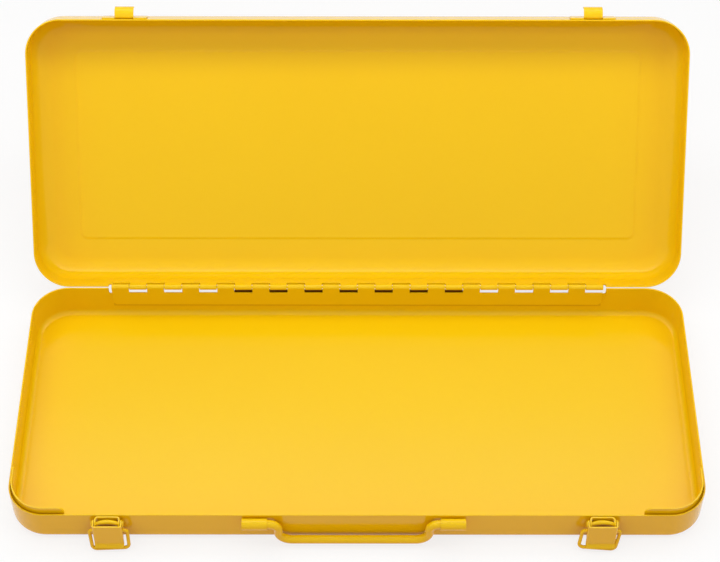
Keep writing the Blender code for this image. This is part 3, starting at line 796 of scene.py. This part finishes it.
def make_catch(word, x, paint):
    """Plate on the lid's front wall. A tongue bent out of its lower edge makes the hook."""
    half_sheet = CATCH_SHEET / 2
    back = CATCH_SEAT + half_sheet
    low = LID_RIM_Z + CATCH_LOW
    high = low + CATCH_HEIGHT
    floor = LID_RIM_Z + HOOK_FLOOR + half_sheet
    lip = HOOK_REACH - half_sheet
    radius = CATCH_CORNER_RADIUS
    half = CATCH_WIDTH / 2
    rounding = [radius * (1 - math.cos(part * math.pi / 2)) for part in parts(FOLD_STEPS)]
    columns = [-half + r for r in rounding] + [-HOOK_WIDTH / 2, -HOOK_WIDTH / 6]
    columns += [-u for u in reversed(columns)]
    bend_top = floor + HOOK_ROOT_BEND
    plate_rows = [high, (high + bend_top) / 2, bend_top, low]

    def clipped(u, z):
        """Pull the plate's corners in to their radius."""
        short = max(radius - (half - abs(u)), 0.0)
        cut = radius - math.sqrt(max(radius ** 2 - short ** 2, 0.0))
        return min(max(z, low + cut), high - cut)

    tip = floor + HOOK_RISE - half_sheet
    turns = ((back, 0.0, bend_top), (back, 0.0, floor), (lip, 0.0, floor), (lip, 0.0, tip))
    tongue = bend_path(turns, (HOOK_ROOT_BEND, HOOK_LIP_BEND), TONGUE_STEPS)
    shape = bmesh.new()
    corners = {}

    def corner(key, point):
        if key not in corners:
            corners[key] = shape.verts.new(opened(point))
        return corners[key]

    def plate_corner(i, j):
        return corner((i, j), (x + columns[i], FRONT_Y - back, clipped(columns[i], plate_rows[j])))

    def tongue_corner(i, k):
        """The tongue starts from the plate's row at the top of the bend."""
        if k == 0:
            return plate_corner(i, 2)
        return corner((i, "tongue", k), (x + columns[i], FRONT_Y - tongue[k].x, tongue[k].z))

    def cell(corner_at, i, low_row, high_row):
        ring = [corner_at(*key) for key in ((i, low_row), (i + 1, low_row), (i + 1, high_row), (i, high_row))]
        shape.faces.new(ring)

    for i in range(len(columns) - 1):
        in_tongue = abs(columns[i] + columns[i + 1]) < HOOK_WIDTH
        for j in range(2 if in_tongue else 3):
            cell(plate_corner, i, j, j + 1)
        if in_tongue:
            for k in range(1, len(tongue) - 1):
                cell(tongue_corner, i, 0 if k == 1 else k, k + 1)
    node = "catch_" + word
    add_piece("catch_hook_" + word, shape, "lid", node, paint, gauge=CATCH_SHEET, edge=CUT_EDGE)


# Paint

def node_group(name, inputs, outputs):
    """An empty shader group with named sockets: (name, kind, value) in, (name, kind) out."""
    tree = bpy.data.node_groups.new(name, "ShaderNodeTree")
    for label, kind, value in inputs:
        socket = tree.interface.new_socket(name=label, in_out="INPUT", socket_type=kind)
        socket.default_value = value
    for label, kind in outputs:
        tree.interface.new_socket(name=label, in_out="OUTPUT", socket_type=kind)
    return tree, tree.nodes.new("NodeGroupInput"), tree.nodes.new("NodeGroupOutput")


def math_node(tree, operation, first, second):
    """One operation on two values, each a socket or a number."""
    node = tree.nodes.new("ShaderNodeMath")
    node.operation = operation
    for socket, value in zip(node.inputs, (first, second)):
        if isinstance(value, (int, float)):
            socket.default_value = value
        else:
            tree.links.new(value, socket)
    return node.outputs["Value"]


def noise(tree, place, scale, detail, roughness=0.5):
    """Even noise from 0 to 1, at a scale that is a socket or a number."""
    node = tree.nodes.new("ShaderNodeTexNoise")
    tree.links.new(place, node.inputs["Vector"])
    node.inputs["Detail"].default_value = detail
    node.inputs["Roughness"].default_value = roughness
    if isinstance(scale, (int, float)):
        node.inputs["Scale"].default_value = scale
    else:
        tree.links.new(scale, node.inputs["Scale"])
    return node.outputs["Fac"]


def enamel_relief_group():
    """Height of the paint's skin: orange peel, and the slow waves of pressed sheet under it."""
    value = "NodeSocketFloat"
    inputs = (
        ("Peel Scale", value, 800.0),
        ("Peel Height", value, 2.0e-6),
        ("Wave Scale", value, 16.0),
        ("Wave Height", value, 4.0e-5),
    )
    tree, given, result = node_group("enamel_relief", inputs, (("Height", value),))
    place = tree.nodes.new("ShaderNodeTexCoord").outputs["Object"]
    peel = noise(tree, place, given.outputs["Peel Scale"], detail=2.0)
    wave = noise(tree, place, given.outputs["Wave Scale"], detail=1.0)
    peel_height = math_node(tree, "MULTIPLY", peel, given.outputs["Peel Height"])
    wave_height = math_node(tree, "MULTIPLY", wave, given.outputs["Wave Height"])
    total = math_node(tree, "ADD", peel_height, wave_height)
    tree.links.new(total, result.inputs["Height"])
    return tree


def enamel_tone_group():
    """Colour of the paint: slow drift between a light and a deep yellow, with a little fine mottle."""
    value = "NodeSocketFloat"
    colour = "NodeSocketColor"
    inputs = (
        ("Light", colour, YELLOW),
        ("Deep", colour, YELLOW_DEEP),
        ("Drift Scale", value, 9.0),
        ("Mottle Scale", value, 260.0),
        ("Mottle", value, 0.18),
    )
    tree, given, result = node_group("enamel_tone", inputs, (("Color", colour),))
    place = tree.nodes.new("ShaderNodeTexCoord").outputs["Object"]
    drift = noise(tree, place, given.outputs["Drift Scale"], detail=3.0)
    mottle = noise(tree, place, given.outputs["Mottle Scale"], detail=4.0)
    speck = math_node(tree, "MULTIPLY", math_node(tree, "SUBTRACT", mottle, 0.5), given.outputs["Mottle"])
    share = math_node(tree, "ADD", drift, speck)
    mix = tree.nodes.new("ShaderNodeMix")
    mix.data_type = "RGBA"
    tree.links.new(share, mix.inputs["Factor"])
    tree.links.new(given.outputs["Light"], mix.inputs["A"])
    tree.links.new(given.outputs["Deep"], mix.inputs["B"])
    tree.links.new(mix.outputs["Result"], result.inputs["Color"])
    return tree


def handling_group():
    """Gloss of the paint: faint smears and hair scratches from handling."""
    value = "NodeSocketFloat"
    inputs = (
        ("Gloss", value, PAINT_ROUGHNESS),
        ("Smear Scale", value, 22.0),
        ("Smear", value, 0.03),
        ("Scratch", value, 0.03),
    )
    tree, given, result = node_group("handling_marks", inputs, (("Roughness", value),))
    place = tree.nodes.new("ShaderNodeTexCoord").outputs["Object"]
    smear = noise(tree, place, given.outputs["Smear Scale"], detail=5.0, roughness=0.65)
    stretch = tree.nodes.new("ShaderNodeMapping")
    stretch.inputs["Rotation"].default_value = (0.0, 0.0, SCRATCH_TURN)
    stretch.inputs["Scale"].default_value = SCRATCH_STRETCH
    tree.links.new(place, stretch.inputs["Vector"])
    hair = noise(tree, stretch.outputs["Vector"], scale=1.0, detail=3.0)
    line = tree.nodes.new("ShaderNodeMapRange")
    line.inputs["From Min"].default_value, line.inputs["From Max"].default_value = SCRATCH_EDGE
    tree.links.new(hair, line.inputs["Value"])
    smear_part = math_node(tree, "MULTIPLY", math_node(tree, "SUBTRACT", smear, 0.5), given.outputs["Smear"])
    scratch_part = math_node(tree, "MULTIPLY", line.outputs["Result"], given.outputs["Scratch"])
    total = math_node(tree, "ADD", math_node(tree, "ADD", given.outputs["Gloss"], smear_part), scratch_part)
    tree.links.new(total, result.inputs["Roughness"])
    return tree


def painted_shade_group():
    """Where painted shade darkens the paint: in a box between two corners."""
    vector = "NodeSocketVector"
    inputs = (("Low", vector, SLOT_SHADE_LOW), ("High", vector, SLOT_SHADE_HIGH))
    tree, given, result = node_group("painted_shade_box", inputs, (("Mask", "NodeSocketFloat"),))
    place = tree.nodes.new("ShaderNodeTexCoord").outputs["Object"]
    sides = []
    for vector_out in (place, given.outputs["Low"], given.outputs["High"]):
        split = tree.nodes.new("ShaderNodeSeparateXYZ")
        tree.links.new(vector_out, split.inputs["Vector"])
        sides.append(split.outputs)
    mask = 1.0
    for axis in ("X", "Y", "Z"):
        here, low, high = [side[axis] for side in sides]
        mask = math_node(tree, "MULTIPLY", mask, math_node(tree, "GREATER_THAN", here, low))
        mask = math_node(tree, "MULTIPLY", mask, math_node(tree, "LESS_THAN", here, high))
    tree.links.new(mask, result.inputs["Mask"])
    return tree


def make_paint(name, groups, values, shade_group=None, shade_boxes=()):
    """A gloss enamel: the groups with this piece's own values, and painted shade as (low corner, high corner,
    tint).
    """
    material = bpy.data.materials.new(name)
    material.use_nodes = True
    tree = material.node_tree
    shader = tree.nodes["Principled BSDF"]
    shader.inputs["IOR"].default_value = PAINT_IOR
    placed = {}
    for group in groups:
        node = tree.nodes.new("ShaderNodeGroup")
        node.node_tree = group
        for socket in node.inputs:
            if socket.name in values:
                socket.default_value = values[socket.name]
        placed[group.name] = node
    bump = tree.nodes.new("ShaderNodeBump")
    bump.inputs["Strength"].default_value = 1.0
    bump.inputs["Distance"].default_value = 1.0
    tree.links.new(placed["enamel_relief"].outputs["Height"], bump.inputs["Height"])
    tree.links.new(bump.outputs["Normal"], shader.inputs["Normal"])
    colour = placed["enamel_tone"].outputs["Color"]
    # Each box lays painted shade over the colour: a darker tint where the piece is in shadow
    for low, high, tint in shade_boxes:
        spot = tree.nodes.new("ShaderNodeGroup")
        spot.node_tree = shade_group
        spot.inputs["Low"].default_value = low
        spot.inputs["High"].default_value = high
        shaded = tree.nodes.new("ShaderNodeMix")
        shaded.data_type = "RGBA"
        tree.links.new(spot.outputs["Mask"], shaded.inputs["Factor"])
        tree.links.new(colour, shaded.inputs["A"])
        shaded.inputs["B"].default_value = tint
        colour = shaded.outputs["Result"]
    tree.links.new(colour, shader.inputs["Base Color"])
    tree.links.new(placed["handling_marks"].outputs["Roughness"], shader.inputs["Roughness"])
    return material


# Studio

def seen_directly(tree):
    """1 for camera rays and for rays that mirror or pass through, 0 for rays that carry light."""
    path = tree.nodes.new("ShaderNodeLightPath")
    seen = math_node(tree, "MAXIMUM", path.outputs["Is Camera Ray"], path.outputs["Is Glossy Ray"])
    return math_node(tree, "MAXIMUM", seen, path.outputs["Is Transmission Ray"])


def make_floor():
    """A pale floor that takes the case's shadow and goes over into the white room further away."""
    shape = bmesh.new()
    bmesh.ops.create_grid(shape, x_segments=1, y_segments=1, size=FLOOR_REACH)
    mesh = bpy.data.meshes.new("floor")
    shape.to_mesh(mesh)
    shape.free()
    floor = bpy.data.objects.new("floor", mesh)
    floor.location.z = FLOOR_Z
    bpy.context.scene.collection.objects.link(floor)
    material = bpy.data.materials.new("floor_white")
    material.use_nodes = True
    tree = material.node_tree
    tree.nodes.remove(tree.nodes["Principled BSDF"])
    card = tree.nodes.new("ShaderNodeBsdfDiffuse")
    card.inputs["Color"].default_value = FLOOR_WHITE
    glow = tree.nodes.new("ShaderNodeEmission")
    white = tree.nodes.new("ShaderNodeMixShader")
    distance = tree.nodes.new("ShaderNodeVectorMath")
    distance.operation = "LENGTH"
    tree.links.new(tree.nodes.new("ShaderNodeTexCoord").outputs["Object"], distance.inputs[0])
    share = tree.nodes.new("ShaderNodeMapRange")
    share.interpolation_type = "SMOOTHSTEP"
    share.inputs["From Min"].default_value, share.inputs["From Max"].default_value = FLOOR_FADE
    share.inputs["To Min"].default_value = FLOOR_GLOW
    share.inputs["To Max"].default_value = 1.0
    tree.links.new(distance.outputs["Value"], share.inputs["Value"])
    tree.links.new(share.outputs["Result"], white.inputs["Fac"])
    tree.links.new(card.outputs["BSDF"], white.inputs[1])
    tree.links.new(glow.outputs["Emission"], white.inputs[2])
    bounce = tree.nodes.new("ShaderNodeBsdfDiffuse")
    bounce.inputs["Color"].default_value = FLOOR_BOUNCE
    choice = tree.nodes.new("ShaderNodeMixShader")
    tree.links.new(seen_directly(tree), choice.inputs["Fac"])
    tree.links.new(bounce.outputs["BSDF"], choice.inputs[1])
    tree.links.new(white.outputs["Shader"], choice.inputs[2])
    tree.links.new(choice.outputs["Shader"], tree.nodes["Material Output"].inputs["Surface"])
    mesh.materials.append(material)


def ceiling_lamp(name, place, size, power):
    """A rectangular lamp that shines straight down and is out of the camera's sight."""
    light = bpy.data.lights.new(name, "AREA")
    light.shape = "RECTANGLE"
    light.size, light.size_y = size
    light.energy = power
    lamp = bpy.data.objects.new(name, light)
    lamp.location = place
    lamp.visible_camera = False
    bpy.context.scene.collection.objects.link(lamp)
    return lamp


def make_light():
    """A room that looks white and three soft lamps. The far panel behind shows in the paint's shine alone."""
    world = bpy.data.worlds.new("studio")
    bpy.context.scene.world = world
    world.use_nodes = True
    tree = world.node_tree
    background = tree.nodes["Background"]
    background.inputs["Color"].default_value = ROOM_COLOUR
    darker = math_node(tree, "SUBTRACT", 1.0, seen_directly(tree))
    loss = math_node(tree, "MULTIPLY", darker, 1.0 - ROOM_LIGHT)
    tree.links.new(math_node(tree, "SUBTRACT", 1.0, loss), background.inputs["Strength"])
    soft_lamps = (
        ceiling_lamp("softbox_overhead", OVERHEAD_PLACE, OVERHEAD_SIZE, OVERHEAD_POWER),
        ceiling_lamp("strip_above_hinge", HINGE_STRIP_PLACE, HINGE_STRIP_SIZE, HINGE_STRIP_POWER),
        ceiling_lamp("strip_above_front", FRONT_STRIP_PLACE, FRONT_STRIP_SIZE, FRONT_STRIP_POWER),
    )
    for lamp in soft_lamps:
        lamp.visible_glossy = False
    shine = ceiling_lamp("panel_behind", SHINE_PLACE, SHINE_SIZE, SHINE_POWER)
    shine.visible_diffuse = False


def make_camera():
    """The photograph's view: pitch below the level, then yaw and roll."""
    forward = Vector((
        math.sin(CAMERA_YAW) * math.cos(CAMERA_PITCH),
        math.cos(CAMERA_YAW) * math.cos(CAMERA_PITCH),
        -math.sin(CAMERA_PITCH),
    ))
    level = Vector((math.cos(CAMERA_YAW), -math.sin(CAMERA_YAW), 0.0))
    upright = level.cross(forward)
    right = level * math.cos(CAMERA_ROLL) + upright * math.sin(CAMERA_ROLL)
    up = upright * math.cos(CAMERA_ROLL) - level * math.sin(CAMERA_ROLL)
    lens = bpy.data.cameras.new("camera")
    lens.lens = LENS
    lens.sensor_width = SENSOR
    lens.sensor_fit = "HORIZONTAL"
    lens.clip_start = NEAREST
    camera = bpy.data.objects.new("camera", lens)
    turn = Matrix((right, up, -forward)).transposed()
    camera.matrix_world = Matrix.Translation(CAMERA_PLACE) @ turn.to_4x4()
    bpy.context.scene.collection.objects.link(camera)
    bpy.context.scene.camera = camera


def make_case():
    """All pieces of the case, each on its body."""
    groups = (enamel_relief_group(), enamel_tone_group(), handling_group())
    # The shell carries painted shade behind the hinge's middle slots and under the hinge leaf
    shell = make_paint("shell_enamel", groups, {}, painted_shade_group(), SHELL_PAINTED_SHADE)
    hinge = make_paint("hinge_enamel", groups, {"Wave Height": 0.0, "Peel Scale": 1100.0})
    handle = make_paint("handle_enamel", groups, {"Wave Height": 0.0, "Peel Scale": 1000.0})
    latch = make_paint("latch_enamel", groups, {"Wave Height": 0.0, "Peel Scale": 1200.0})
    make_tray(shell)
    make_lid(shell)
    make_hinge(hinge)
    make_handle(handle)
    for word, side in (("left", -1), ("right", 1)):
        shift = Vector((LATCH_SHIFT[word], 0.0, 0.0))
        pivot = Vector(JOINTS["lever_%s_swing" % word]["pos_m"])
        axis = Vector(JOINTS["bail_%s_swing" % word]["pos_m"]) + shift
        make_guide(word, side, shell)
        make_clip(word, side, handle)
        make_catch(word, pivot.x + CATCH_SHIFT[word], latch)
        make_saddle(word, pivot + shift, latch)
        make_pin(word, pivot + shift, latch)
        make_pull(word, pivot + shift, latch)
        make_wire(word, axis, latch)


make_case()
make_floor()
make_light()
make_camera()
bpy.context.scene.view_settings.view_transform = "Standard"
